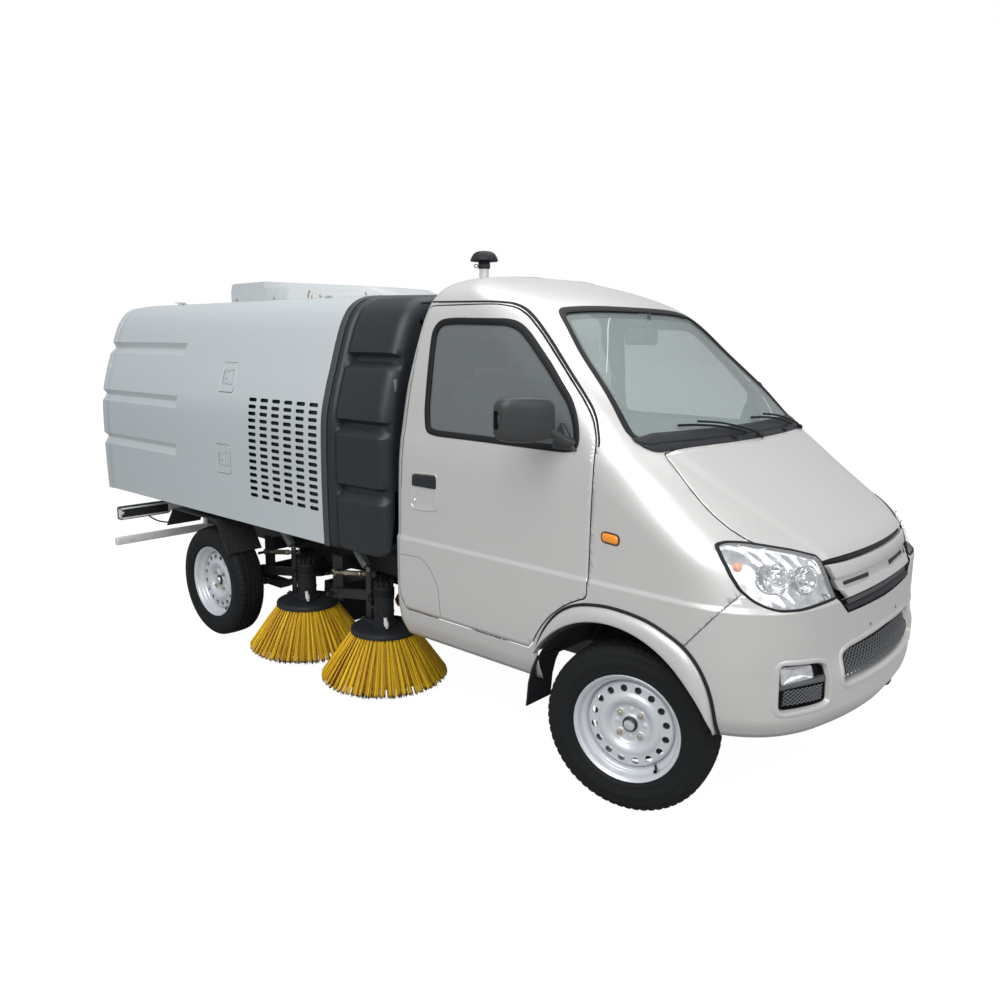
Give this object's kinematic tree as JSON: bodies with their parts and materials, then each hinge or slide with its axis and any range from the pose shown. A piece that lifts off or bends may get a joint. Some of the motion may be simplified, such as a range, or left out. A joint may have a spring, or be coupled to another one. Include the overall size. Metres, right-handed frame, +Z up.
{
  "type": "sidewalk sweeper",
  "caption": "Small cab-over sweeper truck with a water tank, a sweeper box whose sides and rear open, steered front wheels and spinning side brooms on lifting arms.",
  "frame": {"origin": "on the ground under the middle of the overall length and width", "axes": "+X forward, +Y to the vehicle's left, +Z up"},
  "size_m": [4.39, 1.916, 2.021],
  "materials": {
    "cab_paint": "metallic silver, gloss",
    "box_paint": "metallic silver, satin",
    "black_plastic": "moulded, matt",
    "black_steel": "black paint, satin",
    "tyre_rubber": "matt",
    "rim_silver": "silver paint, satin",
    "glass_clear": "clear",
    "lamp_clear": "clear, gloss",
    "cast_iron": "as cast",
    "seat_cloth": "woven",
    "zinc_steel": "yellow zinc",
    "bristle_yellow": "bristles",
    "white_steel": "white paint, satin"
  },
  "bodies": {
    "chassis": {"chassis_frame": "black_steel", "front_suspension": "black_steel", "rear_axle": "black_steel", "engine_block": "cast_iron", "cab_shell": "cab_paint", "front_bumper": "cab_paint", "grille": "cab_paint", "lower_grille": "black_plastic", "headlamp_left": "lamp_clear", "headlamp_right": "lamp_clear", "mudflap_front_left": "black_plastic", "mudflap_front_right": "black_plastic", "windscreen": "glass_clear", "dashboard": "black_plastic", "seats": "seat_cloth", "water_tank": "black_plastic", "box_frame": "box_paint", "auxiliary_engine": "cast_iron", "suction_nozzle": "black_steel", "roof_duct": "white_steel", "air_intake": "black_plastic", "rear_bumper": "white_steel"},
    "front_knuckle_left": {"front_knuckle_left": "cast_iron"},
    "front_knuckle_right": {"front_knuckle_right": "cast_iron"},
    "steering_wheel": {"steering_wheel": "black_plastic"},
    "door_left": {"door_left": "cab_paint", "door_glass_left": "glass_clear", "mirror_left": "black_plastic"},
    "door_right": {"door_right": "cab_paint", "door_glass_right": "glass_clear", "mirror_right": "black_plastic"},
    "hood": {"hood": "cab_paint"},
    "side_cover_left": {"side_cover_left": "box_paint"},
    "side_cover_right": {"side_cover_right": "box_paint"},
    "rear_door": {"rear_door": "box_paint"},
    "wheel_front_left": {"rim_front_left": "rim_silver", "tyre_front_left": "tyre_rubber"},
    "wheel_rear_left": {"rim_rear_left": "rim_silver", "tyre_rear_left": "tyre_rubber"},
    "wheel_front_right": {"rim_front_right": "rim_silver", "tyre_front_right": "tyre_rubber"},
    "wheel_rear_right": {"rim_rear_right": "rim_silver", "tyre_rear_right": "tyre_rubber"},
    "broom_front_left_arm": {"broom_front_left_arm": "black_steel"},
    "broom_front_left_link": {"broom_front_left_link": "zinc_steel"},
    "broom_front_left_carrier": {"broom_front_left_carrier": "black_steel"},
    "broom_front_left_brush": {"broom_front_left_brush": "bristle_yellow"},
    "broom_front_right_arm": {"broom_front_right_arm": "black_steel"},
    "broom_front_right_link": {"broom_front_right_link": "zinc_steel"},
    "broom_front_right_carrier": {"broom_front_right_carrier": "black_steel"},
    "broom_front_right_brush": {"broom_front_right_brush": "bristle_yellow"},
    "broom_rear_left_arm": {"broom_rear_left_arm": "black_steel"},
    "broom_rear_left_link": {"broom_rear_left_link": "zinc_steel"},
    "broom_rear_left_carrier": {"broom_rear_left_carrier": "black_steel"},
    "broom_rear_left_brush": {"broom_rear_left_brush": "bristle_yellow"},
    "broom_rear_right_arm": {"broom_rear_right_arm": "black_steel"},
    "broom_rear_right_link": {"broom_rear_right_link": "zinc_steel"},
    "broom_rear_right_carrier": {"broom_rear_right_carrier": "black_steel"},
    "broom_rear_right_brush": {"broom_rear_right_brush": "bristle_yellow"}
  },
  "joints": [
    {"name": "steer_left", "type": "hinge", "parent": "chassis", "child": "front_knuckle_left", "pos_m": [1.54, 0.556, 0.3], "axis": [0, 0, 1], "range_deg": [-44, 18]},
    {"name": "wheel_spin_front_left", "type": "hinge", "parent": "front_knuckle_left", "child": "wheel_front_left", "pos_m": [1.522, 0.63395, 0.3], "axis": [-0.225, 0.9744, 0], "continuous": true},
    {"name": "wheel_spin_rear_left", "type": "hinge", "parent": "chassis", "child": "wheel_rear_left", "pos_m": [-1.06, 0.661, 0.3], "axis": [0, 1, 0], "continuous": true},
    {"name": "door_left_swing", "type": "hinge", "parent": "chassis", "child": "door_left", "pos_m": [1.39, 0.738, 0.9], "axis": [0, 0, -1], "range_deg": [0, 65]},
    {"name": "side_cover_left_lift", "type": "hinge", "parent": "chassis", "child": "side_cover_left", "pos_m": [0, 0.4275, 1.816], "axis": [1, 0, 0], "range_deg": [0, 70]},
    {"name": "steer_right", "type": "hinge", "parent": "chassis", "child": "front_knuckle_right", "pos_m": [1.54, -0.556, 0.3], "axis": [0, 0, 1], "range_deg": [-44, 18]},
    {"name": "wheel_spin_front_right", "type": "hinge", "parent": "front_knuckle_right", "child": "wheel_front_right", "pos_m": [1.558, -0.63395, 0.3], "axis": [-0.225, 0.9744, 0], "continuous": true},
    {"name": "wheel_spin_rear_right", "type": "hinge", "parent": "chassis", "child": "wheel_rear_right", "pos_m": [-1.06, -0.661, 0.3], "axis": [0, 1, 0], "continuous": true},
    {"name": "door_right_swing", "type": "hinge", "parent": "chassis", "child": "door_right", "pos_m": [1.39, -0.738, 0.9], "axis": [0, 0, 1], "range_deg": [0, 65]},
    {"name": "side_cover_right_lift", "type": "hinge", "parent": "chassis", "child": "side_cover_right", "pos_m": [0, -0.4275, 1.816], "axis": [-1, 0, 0], "range_deg": [0, 70]},
    {"name": "steering_wheel_turn", "type": "hinge", "parent": "chassis", "child": "steering_wheel", "pos_m": [1.278, 0.34, 1.098], "axis": [-0.7612, 0, 0.6485], "range_deg": [-620, 260]},
    {"name": "hood_lift", "type": "hinge", "parent": "chassis", "child": "hood", "pos_m": [1.68, 0, 1.203], "axis": [0, -1, 0], "range_deg": [0, 48]},
    {"name": "rear_door_lift", "type": "hinge", "parent": "chassis", "child": "rear_door", "pos_m": [-2.1375, 0, 1.834], "axis": [0, 1, 0], "range_deg": [0, 80]},
    {"name": "broom_front_left_lift", "type": "hinge", "parent": "chassis", "child": "broom_front_left_arm", "pos_m": [-0.28831, 0.505, 0.34807], "axis": [0, -1, 0], "range_deg": [-3, 12]},
    {"name": "broom_front_left_level", "type": "hinge", "parent": "broom_front_left_arm", "child": "broom_front_left_carrier", "pos_m": [0.008, 0.505, 0.395], "axis": [0, -1, 0], "range_deg": [-12.5, 3.5]},
    {"name": "broom_front_left_link_swing", "type": "hinge", "parent": "chassis", "child": "broom_front_left_link", "pos_m": [-0.28831, 0.505, 0.45307], "axis": [0, -1, 0], "range_deg": [-3.5, 12.5]},
    {"name": "broom_front_left_spin", "type": "hinge", "parent": "broom_front_left_carrier", "child": "broom_front_left_brush", "pos_m": [0.103, 0.505, 0.2], "axis": [0, 0, 1], "continuous": true},
    {"name": "broom_front_right_lift", "type": "hinge", "parent": "chassis", "child": "broom_front_right_arm", "pos_m": [-0.28831, -0.505, 0.34807], "axis": [0, -1, 0], "range_deg": [-3, 12]},
    {"name": "broom_front_right_level", "type": "hinge", "parent": "broom_front_right_arm", "child": "broom_front_right_carrier", "pos_m": [0.008, -0.505, 0.395], "axis": [0, -1, 0], "range_deg": [-12.5, 3.5]},
    {"name": "broom_front_right_link_swing", "type": "hinge", "parent": "chassis", "child": "broom_front_right_link", "pos_m": [-0.28831, -0.505, 0.45307], "axis": [0, -1, 0], "range_deg": [-3.5, 12.5]},
    {"name": "broom_front_right_spin", "type": "hinge", "parent": "broom_front_right_carrier", "child": "broom_front_right_brush", "pos_m": [0.103, -0.505, 0.2], "axis": [0, 0, 1], "continuous": true},
    {"name": "broom_rear_left_lift", "type": "hinge", "parent": "chassis", "child": "broom_rear_left_arm", "pos_m": [-0.89431, 0.505, 0.34807], "axis": [0, -1, 0], "range_deg": [-3, 12]},
    {"name": "broom_rear_left_level", "type": "hinge", "parent": "broom_rear_left_arm", "child": "broom_rear_left_carrier", "pos_m": [-0.598, 0.505, 0.395], "axis": [0, -1, 0], "range_deg": [-12.5, 3.5]},
    {"name": "broom_rear_left_link_swing", "type": "hinge", "parent": "chassis", "child": "broom_rear_left_link", "pos_m": [-0.89431, 0.505, 0.45307], "axis": [0, -1, 0], "range_deg": [-3.5, 12.5]},
    {"name": "broom_rear_left_spin", "type": "hinge", "parent": "broom_rear_left_carrier", "child": "broom_rear_left_brush", "pos_m": [-0.503, 0.505, 0.2], "axis": [0, 0, 1], "continuous": true},
    {"name": "broom_rear_right_lift", "type": "hinge", "parent": "chassis", "child": "broom_rear_right_arm", "pos_m": [-0.89431, -0.505, 0.34807], "axis": [0, -1, 0], "range_deg": [-3, 12]},
    {"name": "broom_rear_right_level", "type": "hinge", "parent": "broom_rear_right_arm", "child": "broom_rear_right_carrier", "pos_m": [-0.598, -0.505, 0.395], "axis": [0, -1, 0], "range_deg": [-12.5, 3.5]},
    {"name": "broom_rear_right_link_swing", "type": "hinge", "parent": "chassis", "child": "broom_rear_right_link", "pos_m": [-0.89431, -0.505, 0.45307], "axis": [0, -1, 0], "range_deg": [-3.5, 12.5]},
    {"name": "broom_rear_right_spin", "type": "hinge", "parent": "broom_rear_right_carrier", "child": "broom_rear_right_brush", "pos_m": [-0.503, -0.505, 0.2], "axis": [0, 0, 1], "continuous": true}
  ],
  "couplings": [
    {"joint": "steer_right", "follows": "steer_left", "ratio": 1},
    {"joint": "steering_wheel_turn", "follows": "steer_left", "ratio": 14},
    {"joint": "broom_front_left_level", "follows": "broom_front_left_lift", "ratio": -1},
    {"joint": "broom_front_left_link_swing", "follows": "broom_front_left_lift", "ratio": 1},
    {"joint": "broom_front_right_level", "follows": "broom_front_right_lift", "ratio": -1},
    {"joint": "broom_front_right_link_swing", "follows": "broom_front_right_lift", "ratio": 1},
    {"joint": "broom_rear_left_level", "follows": "broom_rear_left_lift", "ratio": -1},
    {"joint": "broom_rear_left_link_swing", "follows": "broom_rear_left_lift", "ratio": 1},
    {"joint": "broom_rear_right_level", "follows": "broom_rear_right_lift", "ratio": -1},
    {"joint": "broom_rear_right_link_swing", "follows": "broom_rear_right_lift", "ratio": 1}
  ]
}
